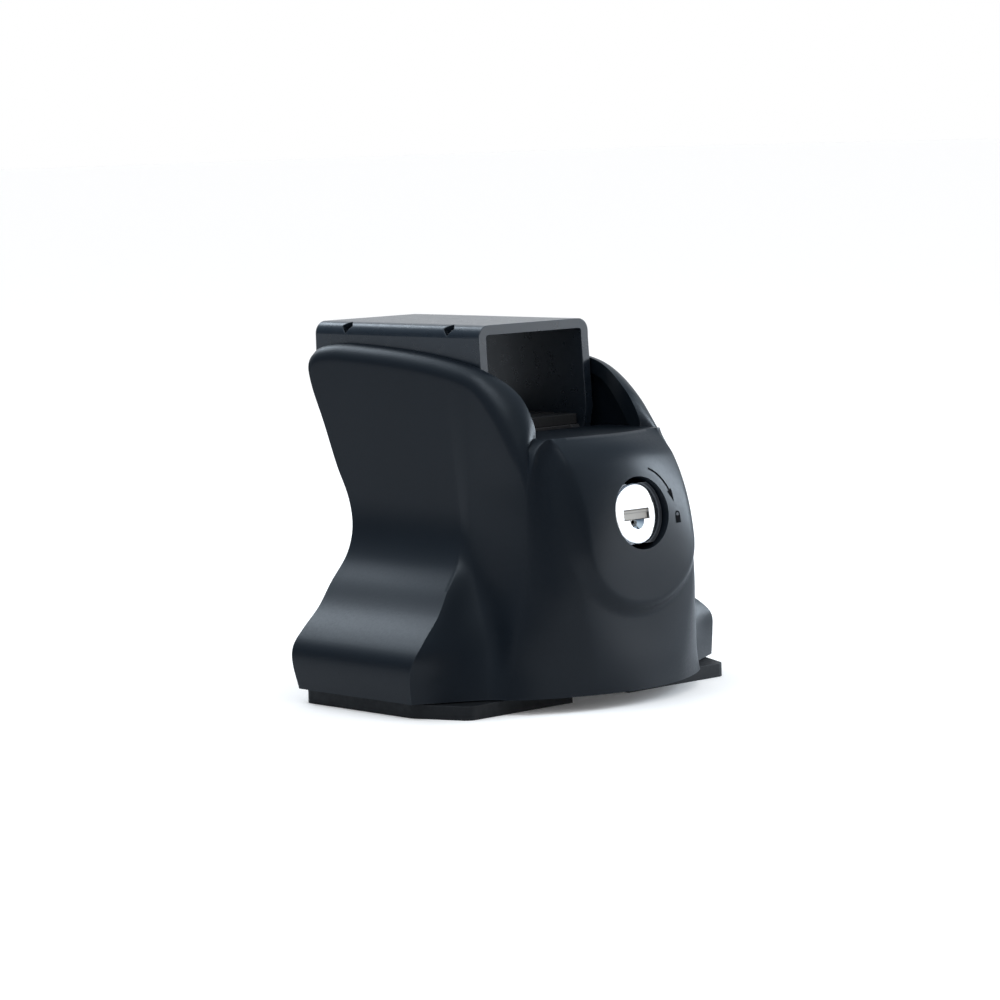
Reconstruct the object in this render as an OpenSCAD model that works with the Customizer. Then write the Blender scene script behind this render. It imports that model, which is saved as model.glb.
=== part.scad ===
/* [Bar and clamp] */
// Depth of the square bar that the foot carries, front to back
bar_w = 30; // [28:0.5:33]
// Height of the bar
bar_h = 20; // [18:0.5:24]
// Height of the underside of the bar above the base
bar_z = 63.6; // [61:0.2:70]
// Length of the clamping bracket along the bar
bracket_len = 58; // [50:1:58]
// Thickness of the bracket's steel sheet
bracket_t = 2.3; // [1.8:0.1:2.6]
// How far the slackened bracket lifts
bracket_lift = 4; // [2:0.5:5]

/* [Stay and base] */
// Thickness of the stay's steel sheet
stay_t = 2.3; // [2:0.1:2.6]
// Thickness of the base plate
base_t = 3.2; // [2.6:0.1:3.4]
// Thickness of the rubber strip under the bar
pad_t = 2.5; // [1.5:0.25:3]
// Half length of the stay's foot flanges, front to back
foot_half_w = 34; // [30:1:38]

/* [Cover] */
// Reach of each toe from the centre line
toe_half_w = 48.4; // [45:0.2:50]
// How far each fin's side stands out from the bracket's flange
fin_out = 5.7; // [5.2:0.1:7]
// Half length of the whole foot along the bar
half_len = 46.5; // [45:0.5:50]
// Wall of the moulded cover
wall = 2.8; // [2.2:0.1:3]
// Radius of the cover's rounded top edge
rim_r = 4; // [2.5:0.25:4]

/* [Lock] */
// Diameter of the hole in the cover for the lock
lock_hole_d = 16.5; // [16:0.1:17.5]
// Backward lean of the lock face, in degrees
lock_tilt = 8; // [4:1:10]
// Height of the lock's centre above the base
lock_z = 43.6; // [42:0.2:45]
// Depth of the lock face below the cover's surface
lock_recess = 2.3; // [1.5:0.1:3]

/* [Tension bolt] */
// Thread diameter of the tension bolt
bolt_d = 8; // [6:1:8]
// Height of the tension bolt's axis above the base
bolt_z = 19; // [18:0.5:20]
// Travel of the nut block along the bolt
block_travel = 15; // [8:1:16]

/* [Hidden] */

// Sheets, pads and seats that stack up under the bar
side_gap = 0.2;
run_gap = 0.05;
rest_gap = 0.3;
saddle_z = bar_z - pad_t;
bar_top = bar_z + bar_h;
flange_out = bar_w/2 + bracket_t;
cheek_out = bar_w/2 - side_gap;
cheek_in = cheek_out - stay_t;
bracket_x0 = -half_len;
bracket_x1 = bracket_x0 + bracket_len;
foot_top = base_t + stay_t;

// Heights that the cover's guide curves are drawn against
rim_z = base_t + rest_gap;
nose_top = bar_z - 2.6;
fin_top = bar_z + 17.3;

// A value read from a guide curve, smooth from point to point
function ease(t) = t*t*(3 - 2*t);
function span(g, z, i = 0) = (i >= len(g) - 2 || z < g[i + 1][0]) ? i : span(g, z, i + 1);
function guide(g, z) =
    let (i = span(g, z), a = g[max(i - 1, 0)], b = g[i], c = g[i + 1],
         d = g[min(i + 2, len(g) - 1)],
         t = min(1, max(0, (z - b[0])/(c[0] - b[0]))),
         h = c[0] - b[0],
         mb = (i == 0) ? (c[1] - b[1])/h : (c[1] - a[1])/(c[0] - a[0]),
         mc = (i >= len(g) - 2) ? (c[1] - b[1])/h : (d[1] - b[1])/(d[0] - b[0]))
    b[1]*(1 + 2*t)*(1 - t)*(1 - t) + mb*h*t*(1 - t)*(1 - t)
    + c[1]*t*t*(3 - 2*t) + mc*h*t*t*(t - 1);

// Guide curves of the cover: height above the base, then distance
fin = flange_out + fin_out;
fin_inner = bar_w/2 + 2.6;
toe = toe_half_w;
nose = half_len;
toe_side = [[rim_z, toe - 0.4], [10, toe], [13.6, toe - 1], [17, toe - 4.6], [21.5, toe - 10.8],
    [26.5, fin + 9.6], [32, fin + 4.2], [38, fin + 1.3], [46, fin + 0.2], [fin_top, fin - 0.8]];
inboard_x = [[rim_z, -19.8], [10, -21.5], [17, -22.5], [25, -25], [38, -27], [45.5, -29.5],
    [52.4, -33.5], [62.9, -38.4], [71, -42.4], [77, -44], [fin_top, -44]];
toe_end_x = [[rim_z, 19.4], [9, 19.5], [15, 20], [21, 17.4], [29, 14], [38, 11], [fin_top, 4]];
ridge_x = [[rim_z, 27.6], [10, 25.7], [17, 23.2], [27, 18.8], [34, 15.8], [41, 14], [fin_top, 12]];
ridge_y = [[rim_z, fin + 10.6], [10, fin + 8.6], [17, fin + 6.4], [27, fin + 3.4], [34, fin + 1.9],
    [41, fin + 0.9], [52, fin + 0.2], [fin_top, fin - 0.8]];
crease_x = [[rim_z, 34], [10, 33.4], [25, 32.8], [41, 32.8], [52, 32.2], [nose_top, 31.4],
    [fin_top, 30.6]];
crease_y = [[rim_z, fin + 6], [10, fin + 5.2], [17, fin + 4.4], [25, fin + 3], [34, fin + 1.8],
    [44, fin + 0.9], [52, fin + 0.2], [fin_top, fin - 0.8]];
sweep_x = [[rim_z, 39.2], [14, 39.8], [25, 39.6], [33, 38.4], [41, 37], [52, 34.8],
    [nose_top, 32.6], [fin_top, 32]];
sweep_y = [[rim_z, 21.5], [25, 22], [41, 21.2], [52, fin_inner + 2], [nose_top, fin_inner],
    [fin_top, fin_inner]];
dome_x = [[rim_z, nose - 3.2], [12, nose - 2.6], [25, nose - 2.8], [33, nose - 3.1],
    [41, nose - 4.1], [48, nose - 5.9], [55, nose - 9], [58, nose - 11.4],
    [nose_top, nose - 14.6]];
dome_y = [[rim_z, 12], [17, 14.8], [25, 16.8], [33, 17.4], [48, 17], [nose_top, fin_inner - 1.8]];
nose_x = [[rim_z, nose - 1.4], [10, nose - 1.5], [17, nose - 1.9], [24, nose - 2],
    [34, nose - 2.1], [43.6, nose - 2.7], [48, nose - 3.5], [52, nose - 4.6], [56, nose - 6.6],
    [58.8, nose - 9.2], [nose_top, nose - 12.5]];

// Top edge of a fin: distance along the bar, then height
fin_edge = [[-44, fin_top - 4.6], [-41, fin_top - 1.2], [-36, fin_top - 0.1], [-30, fin_top],
    [-12, fin_top - 1], [2, fin_top - 2.5], [12, fin_top - 4.5], [19, fin_top - 7.4],
    [24.5, fin_top - 11.4], [28.4, fin_top - 16], [31.4, nose_top]];

// Net of the cover: stations along the half outline, and rows up the wall
flank_n = 9;
valley_n = 5;
strip_n = 6;
sweep_n = 4;
dome_n = 4;
nose_n = 5;
row_n = 22;
half_n = flank_n + valley_n + strip_n + sweep_n + dome_n + nose_n;

function mixp(a, b, t) = a + (b - a)*t;

// Raised shield round the lock: how far it stands out, its half width, and its round lower end
shield_lift = 2;
shield_w = 19.3;
shield_z = 37;
shield_h = 16.2;
shield_step = 4;
function shield_reach(y, z) = norm([y, max(shield_z - z, 0)*shield_w/shield_h]);
function shield(y, z) = ease(min(1, max(0, (shield_w + 0.8 - shield_reach(y, z))/shield_step)));

// A vector cut down to the length of another, if it is longer
function short(v, limit) = v*min(1, norm(limit)/norm(v));

// Points that one half outline passes through at a height
function keys(z) = [
    [guide(inboard_x, z), guide(toe_side, z)],
    [guide(toe_end_x, z), guide(toe_side, z)],
    [guide(ridge_x, z), guide(ridge_y, z)],
    [guide(crease_x, z), guide(crease_y, z)],
    [guide(sweep_x, min(z, nose_top)), guide(sweep_y, min(z, nose_top))],
    [guide(dome_x, min(z, nose_top)), guide(dome_y, min(z, nose_top))],
    [guide(nose_x, min(z, nose_top)), 0]];

// Station s from 0 at the inboard edge to half_n at the nose, as [part, share of it]
starts = [0, flank_n, flank_n + valley_n, flank_n + valley_n + strip_n,
    flank_n + valley_n + strip_n + sweep_n, half_n - nose_n, half_n];
function part_of(s, i = 0) = (i >= len(starts) - 2 || s < starts[i + 1]) ? i : part_of(s, i + 1);

// A smooth curve through the key points, straight along the toe's face
function raised(p, z) = [p[0] + shield_lift*shield(p[1], z), p[1]];
function outline(s, z) = raised(plain_outline(s, z), z);
function plain_outline(s, z) =
    let (k = keys(z), i = part_of(s), t = (s - starts[i])/(starts[i + 1] - starts[i]),
         b = k[i], c = k[i + 1],
         a = (i == 0) ? b + (b - c) : k[i - 1],
         d = (i == len(k) - 2) ? [b[0], -b[1]] : k[i + 2],
         mb = (i == 0) ? c - b : (i == 1) ? (c - b)*0.8 : short((c - a)/2, c - b),
         mc = (i == 0) ? c - b : (i == len(k) - 2) ? [0, (c - b)[1]*1.2] : short((d - b)/2, c - b))
    b*(1 + 2*t)*(1 - t)*(1 - t) + mb*t*(1 - t)*(1 - t) + c*t*t*(3 - 2*t) + mc*t*t*(t - 1);

// Height of the cover's edge above a station, and how level the edge runs there
function edge_z(s) = s >= starts[3] ? nose_top : guide(fin_edge, outline(s, 70)[0]);
function edge_level(s) =
    let (near = min(s, starts[3]), a = min(near + 0.5, starts[3]), b = max(near - 0.5, 0),
         run = outline(a, 70)[0] - outline(b, 70)[0],
         rise = edge_z(a) - edge_z(b))
    mixp(1, max(0.45, abs(run)/norm([run, rise])), rim_share(s));
// The fins' edges are rounded more towards their outboard ends
rim_swell = 2.2;
function edge_r(s) = rim_r + rim_swell*ease(min(1, max(0, (outline(s, 70)[0] - 13)/12)));
function rim_share(s) = 1 - ease(min(1, max(0, (s - starts[3])/sweep_n)));

// Shelf under the bar: where it ends, and its thickness
shelf_x0 = bracket_x1 + 4;
shelf_t = 2.4;

// Direction towards the inside of the cover, across the wall, evened out over some stations
spread = 2.6;
function inward(s, z) =
    s == half_n ? [-1, 0] :
    let (t = outline(min(s + spread, half_n), z) - outline(max(s - spread, 0), z))
    [t[1], -t[0]]/norm(t);

// Level strip inside the rounded edge
rim_flat = 0.5;

// Rows: level ones up the wall, then round_n more over the rounded edge
round_n = 4;
function row_phi(j) = j <= row_n - round_n ? 0 : 90*(j - row_n + round_n)/round_n;
function row_z(s, j) =
    let (r = edge_r(s)*rim_share(s), top = edge_z(s), level = edge_level(s),
         start = top - r/level)
    j <= row_n - round_n ? mixp(rim_z, start, j/(row_n - round_n))
    : start + r/level*sin(row_phi(j));
// The wall turns in under the bar as a shelf, in the rows that round the fins' edges
function shelf_share(s, j) = (1 - rim_share(s))*(1 - cos(row_phi(j)));
function shelf_shift(s, j, p) = ([shelf_x0, min(p[1], fin_inner - 1)] - p)*shelf_share(s, j);
function outer_point(s, j) =
    let (z = row_z(s, j), inset = edge_r(s)*rim_share(s)*(1 - cos(row_phi(j))),
         p = outline(s, z) + inward(s, z)*inset)
    [each (p + shelf_shift(s, j, p)), z];
function inner_point(s, j) =
    let (z = row_z(s, j),
         depth = j <= row_n - round_n ? wall : max(wall, edge_r(s)*rim_share(s) + rim_flat),
         p = outline(s, z) + inward(s, z)*depth)
    [each (p + shelf_shift(s, j, p)),
        z - (1 - rim_share(s))*shelf_t*(z - rim_z)/(nose_top - rim_z)];
function front(p) = [p[0], -p[1], p[2]];

col_n = 2*half_n;
function col_point(i, j, inside) =
    let (s = i <= half_n ? i : col_n - i,
         p = inside ? inner_point(s, j) : outer_point(s, j))
    i <= half_n ? front(p) : p;
function grid(inside) = [for (i = [0:col_n]) for (j = [0:row_n]) col_point(i, j, inside)];
function at(i, j, inside = 0) = inside*(col_n + 1)*(row_n + 1) + i*(row_n + 1) + j;
function quad(a, b, c, d) = [[a, b, c], [a, c, d]];

module cover_shell() {
    faces = [
        for (i = [0:col_n - 1]) for (j = [0:row_n - 1])
            each quad(at(i, j), at(i, j + 1), at(i + 1, j + 1), at(i + 1, j)),
        for (i = [0:col_n - 1]) for (j = [0:row_n - 1])
            each quad(at(i, j, 1), at(i + 1, j, 1), at(i + 1, j + 1, 1), at(i, j + 1, 1)),
        for (i = [0:col_n - 1])
            each quad(at(i, 0), at(i + 1, 0), at(i + 1, 0, 1), at(i, 0, 1)),
        for (i = [0:col_n - 1])
            each quad(at(i, row_n), at(i, row_n, 1), at(i + 1, row_n, 1), at(i + 1, row_n)),
        for (j = [0:row_n - 1])
            each quad(at(0, j), at(0, j, 1), at(0, j + 1, 1), at(0, j + 1)),
        for (j = [0:row_n - 1])
            each quad(at(col_n, j), at(col_n, j + 1), at(col_n, j + 1, 1), at(col_n, j, 1))];
    polyhedron(points = [each grid(false), each grid(true)], faces = faces, convexity = 8);
}

// The lock's own frame: +X out of the cover's surface along the lock's axis
lock_x = guide(nose_x, lock_z) + shield_lift;
module on_lock() {
    translate([lock_x, 0, lock_z]) rotate([0, -lock_tilt, 0]) children();
}
// A round bar along X from x0 to x1
module barrel(d, x0, x1, fn = 64) {
    translate([x0, 0, 0]) rotate([0, 90, 0]) cylinder(d = d, h = x1 - x0, $fn = fn);
}

// Stack of the lock along its axis, measured back from the cover's surface
boss_d = lock_hole_d + 4.6;
boss_end = -12;
lock_gap = 0.2;
housing_d = lock_hole_d - 2*lock_gap;
face_x = -lock_recess;
housing_end = -19.5;
rotor_head_d = 14;
rotor_head_t = 3;
rotor_d = 11;
tail_d = 7;
cam_x = -29.5;
cam_t = 2;
cam_r = cheek_in - 2;
slot_w = 8;
slot_h = 2.4;
slot_deep = 9;

module cover() {
    color([0.17, 0.20, 0.23]) difference() {
        union() {
            cover_shell();
            on_lock() barrel(boss_d, boss_end, -2.6);
        }
        on_lock() barrel(lock_hole_d, boss_end - 1, 6, 96);
    }
}

// Plan of the base plate: toes, then the straight outboard edge
base_x0 = -20.4;
base_x1 = half_len - 16;
base_toe_x = 17.4;
base_half_w = toe_half_w - 2.2;
base_corner_y = base_half_w - 5.7;
peg_d = 6.5;
peg_x = [-10, 14];
peg_y = base_half_w - 6.2;
rivet_d = 5;
rivet_x = [-11, 8];
rivet_y = 24;
slot_half_w = 9;
module base_plate() {
    color([0.07, 0.07, 0.08]) difference() {
        linear_extrude(base_t) offset(r = 2.5, $fn = 32) offset(delta = -2.5)
            polygon([[base_x0, -base_half_w], [base_toe_x, -base_half_w], [base_x1, -base_corner_y],
                [base_x1, base_corner_y], [base_toe_x, base_half_w], [base_x0, base_half_w]]);
        for (x = peg_x) for (side = [-1, 1])
            translate([x, side*peg_y, -1]) cylinder(d = peg_d, h = base_t + 2, $fn = 48);
        for (x = rivet_x) for (side = [-1, 1])
            translate([x, side*rivet_y, -1]) cylinder(d = rivet_d, h = base_t + 2, $fn = 48);
        // passage of the roof hook
        translate([-6, -slot_half_w, -1]) cube([base_x1 + 10, 2*slot_half_w, base_t + 2]);
    }
}

// Side outline of the stay's cheeks, from the base up to the saddle
stay_x0 = bracket_x0 + 3;
stay_x1 = bracket_x1 - 1.5;
bridge_x = half_len - 26.5;
bridge_t = 2.3;
bridge_x1 = bridge_x + bridge_t;
cheek_x1 = bridge_x1 + 3.2;
stay_foot_x0 = -17;
stay_foot_x1 = 15;
clamp_x = [bracket_x0 + 26, bracket_x0 + 45];
clamp_z = saddle_z - 10;
clamp_d = 6;
module cheek_outline() {
    polygon([[stay_foot_x0, base_t], [cheek_x1, base_t], [cheek_x1, 47], [stay_x1 + 6, saddle_z - 7],
        [stay_x1, saddle_z], [stay_x0, saddle_z], [stay_x0 + 3, saddle_z - 7], [-25, 40], [-19, 30]]);
}
module stay() {
    color([0.20, 0.21, 0.23]) difference() {
        union() {
            for (side = [-1, 1])
                translate([0, side*(cheek_in + stay_t/2) + stay_t/2, 0])
                    rotate([90, 0, 0]) linear_extrude(stay_t) cheek_outline();
            translate([stay_x0, -cheek_out, saddle_z - stay_t])
                cube([stay_x1 - stay_x0, 2*cheek_out, stay_t]);
            for (side = [-1, 1])
                translate([stay_foot_x0, side > 0 ? cheek_in : -foot_half_w, base_t])
                    cube([stay_foot_x1 - stay_foot_x0, foot_half_w - cheek_in, stay_t]);
        }
        for (x = rivet_x) for (side = [-1, 1])
            translate([x, side*rivet_y, base_t - 1]) cylinder(d = rivet_d, h = stay_t + 2, $fn = 48);
        for (x = clamp_x)
            translate([x, 0, clamp_z]) rotate([90, 0, 0])
                cylinder(d = clamp_d + 0.4, h = 2*cheek_out + 4, center = true, $fn = 48);
        // lightening holes in the cheeks
        translate([-8, 0, 40]) rotate([90, 0, 0])
            cylinder(d = 9, h = 2*cheek_out + 4, center = true, $fn = 64);
        for (x = bridge_rivet_x) for (z = bridge_rivet_z)
            translate([x, 0, z]) rotate([90, 0, 0])
                cylinder(d = bridge_rivet_d, h = 2*cheek_out + 4, center = true, $fn = 32);
    }
}

// Rubber strip between the saddle and the bar
module saddle_pad() {
    color([0.06, 0.06, 0.06]) difference() {
        translate([stay_x0, -cheek_out + 0.4, saddle_z])
            cube([stay_x1 - stay_x0, 2*cheek_out - 0.8, pad_t]);
        for (k = [1:7])
            translate([stay_x0 + k*(stay_x1 - stay_x0)/8 - 0.8, -cheek_out, bar_z - 0.8])
                cube([1.6, 2*cheek_out, 2]);
    }
}

// Rivets that hold the stay's foot flanges to the base plate
head_h = 1.6;
module foot_rivets() {
    color([0.55, 0.56, 0.58]) for (x = rivet_x) for (side = [-1, 1])
        translate([x, side*rivet_y, 0]) {
            translate([0, 0, 0.2]) cylinder(d = rivet_d, h = foot_top, $fn = 48);
            translate([0, 0, foot_top]) intersection() {
                cylinder(d = rivet_d + 3.4, h = head_h, $fn = 48);
                translate([0, 0, head_h - 7]) sphere(r = 7, $fn = 48);
            }
        }
}

// Bridge between the cheeks: it carries the tension bolt, and the lock's cam catches behind it
bridge_top = 54;
block_len = 14;
bridge_lip = block_travel + block_len + 5;
bridge_rivet_x = [bridge_x - 4, bridge_x - bridge_lip + 5];
bridge_rivet_z = [13, 28];
bridge_rivet_d = 3.2;
window_z = lock_z - 24.9*sin(lock_tilt);
window_half_w = cam_r + 0.9;
window_half_h = 6.4;
module bolt_bridge() {
    color([0.52, 0.53, 0.55]) difference() {
        union() {
            translate([bridge_x, -cheek_in + run_gap, foot_top])
                cube([bridge_t, 2*(cheek_in - run_gap), bridge_top - foot_top]);
            for (side = [-1, 1])
                translate([bridge_x - bridge_lip, side > 0 ? cheek_in - run_gap - 2 : -cheek_in + run_gap,
                    foot_top + 3]) cube([bridge_lip, 2, 27]);
        }
        translate([0, 0, bolt_z]) barrel(bolt_d + 2*run_gap, bridge_x - 1, bridge_x1 + 1, 96);
        translate([bridge_x - 1, -window_half_w, window_z - window_half_h])
            cube([bridge_t + 2, 2*window_half_w, 2*window_half_h]);
        for (x = bridge_rivet_x) for (z = bridge_rivet_z)
            translate([x, 0, z]) rotate([90, 0, 0])
                cylinder(d = bridge_rivet_d, h = 2*cheek_out + 4, center = true, $fn = 32);
    }
}
module bridge_rivets() {
    color([0.55, 0.56, 0.58]) for (x = bridge_rivet_x) for (z = bridge_rivet_z) for (side = [-1, 1])
        translate([x, side*(cheek_in - 2 - run_gap), z]) rotate([side > 0 ? -90 : 90, 0, 0]) {
            cylinder(d = bridge_rivet_d, h = stay_t + 2 + run_gap, $fn = 32);
            translate([0, 0, stay_t + 2 + run_gap]) cylinder(d1 = 6, d2 = 4, h = 1.2, $fn = 48);
        }
}

// Clamping bracket: an inverted channel over the bar, with two stamped darts at each bend
bend_r = 3;
inner_r = bend_r - bracket_t;
bracket_top = bar_top + bracket_t;
bracket_low = clamp_z - 7.4;
dart_from_end = 11;
dart_w = 2.6;
module bracket_section() {
    difference() {
        union() {
            translate([-flange_out, bracket_low])
                square([2*flange_out, bracket_top - bend_r - bracket_low]);
            translate([-flange_out + bend_r, bracket_low])
                square([2*(flange_out - bend_r), bracket_top - bracket_low]);
            for (side = [-1, 1])
                translate([side*(flange_out - bend_r), bracket_top - bend_r])
                    circle(r = bend_r, $fn = 64);
        }
        translate([-bar_w/2, bracket_low - 1]) square([bar_w, bar_top - inner_r - bracket_low + 1]);
        translate([-bar_w/2 + inner_r, bracket_low - 1])
            square([bar_w - 2*inner_r, bar_top - bracket_low + 1]);
        for (side = [-1, 1])
            translate([side*(bar_w/2 - inner_r), bar_top - inner_r]) circle(r = inner_r, $fn = 64);
    }
}
module bracket_side() {
    polygon([[bracket_x0, bracket_top + 1], [bracket_x1, bracket_top + 1],
        [bracket_x1 + 0.01, bar_top - 2], [bracket_x1 + 1, saddle_z + 4],
        [clamp_x[1] + 9, bracket_low], [clamp_x[0] - 10, bracket_low],
        [bracket_x0 + 5, saddle_z - 2], [bracket_x0 + 1.5, saddle_z + 8], [bracket_x0, bar_top - 5]]);
}
module bar_bracket() {
    color([0.22, 0.24, 0.27]) difference() {
        intersection() {
            translate([bracket_x0 - 1, 0, 0]) rotate([90, 0, 90])
                linear_extrude(bracket_len + 4) bracket_section();
            translate([0, flange_out + 1, 0]) rotate([90, 0, 0])
                linear_extrude(2*flange_out + 2) bracket_side();
        }
        for (x = clamp_x) for (z = [clamp_z, clamp_z - bracket_lift])
            translate([x, 0, z]) rotate([90, 0, 0])
                cylinder(d = clamp_d + 0.6, h = 2*flange_out + 2, center = true, $fn = 48);
        for (x = clamp_x)
            translate([x - clamp_d/2 - 0.3, -flange_out - 1, clamp_z - bracket_lift])
                cube([clamp_d + 0.6, 2*flange_out + 2, bracket_lift]);
        for (x = [bracket_x0 + dart_from_end, bracket_x1 - dart_from_end]) for (side = [-1, 1])
            translate([x, side*(flange_out + 0.5), bracket_top + 0.5]) rotate([45*side, 0, 0])
                rotate([0, 45, 0]) cube([dart_w, 9, dart_w], center = true);
    }
}

// Low-headed screws that clamp the bracket to the stay, and the nuts welded inside the cheeks
clamp_head_h = 2.4;
clamp_nut_h = 4.6;
module clamp_screws() {
    color([0.12, 0.12, 0.13]) for (x = clamp_x) for (side = [-1, 1])
        translate([x, side*flange_out, clamp_z]) rotate([side > 0 ? 90 : -90, 0, 0]) difference() {
            union() {
                translate([0, 0, -clamp_head_h]) cylinder(d1 = 9, d2 = 11, h = clamp_head_h, $fn = 64);
                cylinder(d = clamp_d, h = flange_out - cheek_in + clamp_nut_h + 1, $fn = 48);
            }
            translate([0, 0, -clamp_head_h - 1]) rotate([0, 0, 30]) cylinder(d = 4.6, h = 2.6, $fn = 6);
        }
}
module clamp_nuts() {
    color([0.50, 0.51, 0.53]) for (x = clamp_x) for (side = [-1, 1])
        translate([x, side*cheek_in, clamp_z]) rotate([side > 0 ? 90 : -90, 0, 0]) difference() {
            cylinder(d = 11.5, h = clamp_nut_h, $fn = 6);
            translate([0, 0, -1]) cylinder(d = clamp_d, h = clamp_nut_h + 2, $fn = 48);
        }
}

// Tension bolt: it draws the nut block, and the roof hook with it, towards the middle of the roof
washer_t = 1.6;
bolt_head_d = 15;
bolt_head_h = 6;
clip_t = 1;
clip_gap = 0.3;
block_h = 15;
block_x = bridge_x - 4 - block_len/2;
bolt_end = block_x - block_len/2 - block_travel - 3;
head_x = bridge_x1 + washer_t;
clip_x1 = bridge_x - clip_gap;
module tension_bolt() {
    color([0.58, 0.59, 0.61]) translate([0, 0, bolt_z]) difference() {
        union() {
            barrel(bolt_d, bolt_end + 1, head_x + 1, 96);
            translate([bolt_end, 0, 0]) rotate([0, 90, 0])
                cylinder(d1 = bolt_d - 2, d2 = bolt_d, h = 1, $fn = 64);
            barrel(bolt_head_d, head_x, head_x + 1.2);
            translate([head_x, 0, 0]) rotate([0, 90, 0])
                cylinder(d = bolt_head_d, h = bolt_head_h, $fn = 6);
        }
        difference() {
            barrel(bolt_d + 2, clip_x1 - clip_t, clip_x1);
            barrel(bolt_d - 1.2, clip_x1 - clip_t - 1, clip_x1 + 1);
        }
    }
}
module bolt_washer() {
    color([0.66, 0.67, 0.69]) translate([0, 0, bolt_z]) difference() {
        barrel(17, bridge_x1, head_x);
        barrel(bolt_d + 2*run_gap, bridge_x1 - 1, head_x + 1, 96);
    }
}
module bolt_clip() {
    color([0.35, 0.35, 0.36]) translate([0, 0, bolt_z]) difference() {
        barrel(13, clip_x1 - clip_t, clip_x1);
        barrel(bolt_d - 1.2, clip_x1 - clip_t - 1, clip_x1 + 1);
        translate([clip_x1 - clip_t - 1, -2, 0]) cube([clip_t + 2, 4, 10]);
    }
}
tapping_d = 5;
tapping_deep = 10;
tapping_y = 7;
module nut_block() {
    color([0.46, 0.47, 0.49]) difference() {
        translate([block_x - block_len/2, -cheek_in + rest_gap + 2, bolt_z - block_h/2])
            cube([block_len, 2*(cheek_in - rest_gap - 2), block_h]);
        translate([0, 0, bolt_z])
            barrel(bolt_d + 2*run_gap, block_x - block_len/2 - 1, block_x + block_len/2 + 1, 96);
        for (side = [-1, 1])
            translate([block_x, side*tapping_y, bolt_z - block_h/2 - 1])
                cylinder(d = tapping_d, h = tapping_deep + 1, $fn = 48);
    }
}

// Lock: housing clamped in the cover, and the plug that turns in it
housing_rotor_d = rotor_d + 2*run_gap;
flat_half = housing_d/2 - 1.2;
module lock_housing() {
    color([0.30, 0.31, 0.33]) on_lock() difference() {
        intersection() {
            barrel(housing_d, housing_end, face_x, 96);
            translate([housing_end - 1, -housing_d, -flat_half])
                cube([face_x - housing_end + 2, 2*housing_d, 2*flat_half]);
        }
        barrel(rotor_head_d + 2*run_gap, face_x - rotor_head_t, face_x + 1, 96);
        barrel(housing_rotor_d, housing_end - 1, face_x, 96);
    }
}
module lock_washer() {
    color([0.62, 0.63, 0.65]) on_lock() difference() {
        barrel(boss_d + 2, boss_end - 1, boss_end);
        barrel(housing_d + 0.3, boss_end - 2, boss_end + 1);
    }
}
module lock_nut() {
    color([0.60, 0.60, 0.61]) on_lock() difference() {
        translate([boss_end - 5, 0, 0]) rotate([0, 90, 0]) cylinder(d = boss_d + 3, h = 4, $fn = 6);
        barrel(housing_d + 0.2, boss_end - 6, boss_end + 1);
    }
}
slot_z = -0.2;
shutter_t = 0.7;
hinge_d = 1;
hinge_gap = 0.06;
hinge_x = face_x - 0.3 - hinge_d/2;
hinge_z = slot_z + slot_h/2 - 0.55;
module lock_rotor() {
    color([0.92, 0.93, 0.94]) on_lock() difference() {
        union() {
            barrel(rotor_head_d, face_x - rotor_head_t, face_x, 96);
            barrel(rotor_d, housing_end - 0.6, face_x - 1, 96);
            barrel(tail_d, cam_x, housing_end, 64);
        }
        translate([face_x - slot_deep, -slot_w/2, slot_z - slot_h/2])
            cube([slot_deep + 1, slot_w, slot_h]);
        // room for the shutter's hinge pin and for the shutter laid back
        translate([hinge_x, 0, hinge_z]) rotate([90, 0, 0])
            cylinder(d = hinge_d + 2*hinge_gap, h = slot_w + 1.6, center = true, $fn = 32);
        // notch under the slot that turns the key's tip square
        translate([face_x + 0.6, 0, slot_z - slot_h/2]) rotate([0, 90, 0])
            cylinder(d1 = 0.6, d2 = 5.6, h = 2.4, center = true, $fn = 48);
        translate([cam_x - 1, 0, 0]) barrel(2.5, 0, 7, 32);
        difference() {
            translate([cam_x - 1, -tail_d, -tail_d]) cube([cam_t + 1, 2*tail_d, 2*tail_d]);
            translate([cam_x - 2, -tail_d, -2.4]) cube([cam_t + 3, 2*tail_d, 4.8]);
        }
    }
}
module lock_cam() {
    color([0.62, 0.63, 0.65]) on_lock() difference() {
        union() {
            barrel(11, cam_x, cam_x + cam_t);
            translate([cam_x, -cam_r + 3, -3]) cube([cam_t, cam_r - 3, 6]);
            translate([0, -cam_r + 3, 0]) barrel(6, cam_x, cam_x + cam_t);
        }
        intersection() {
            barrel(tail_d, cam_x - 1, cam_x + cam_t + 1);
            translate([cam_x - 2, -tail_d, -2.4]) cube([cam_t + 4, 2*tail_d, 4.8]);
        }
    }
}
module cam_screw() {
    color([0.70, 0.71, 0.72]) on_lock() {
        barrel(2.5, cam_x - 0.5, cam_x + 5.4, 32);
        translate([cam_x - 1.6, 0, 0]) rotate([0, 90, 0]) cylinder(d1 = 7, d2 = 8.4, h = 1.6, $fn = 48);
    }
}
module key_shutter() {
    color([0.62, 0.59, 0.54]) on_lock() {
        translate([hinge_x - 0.35, -slot_w/2 + 0.3, slot_z - slot_h/2 + 0.12])
            cube([shutter_t, slot_w - 0.6, slot_h - 0.5]);
        translate([hinge_x, 0, hinge_z]) rotate([90, 0, 0])
            cylinder(d = hinge_d, h = slot_w + 1.2, center = true, $fn = 32);
    }
}
module shutter_spring() {
    color([0.75, 0.75, 0.76]) on_lock()
        translate([face_x - slot_deep, -1, slot_z - slot_h/2]) cube([4, 2, 0.3]);
}

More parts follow.
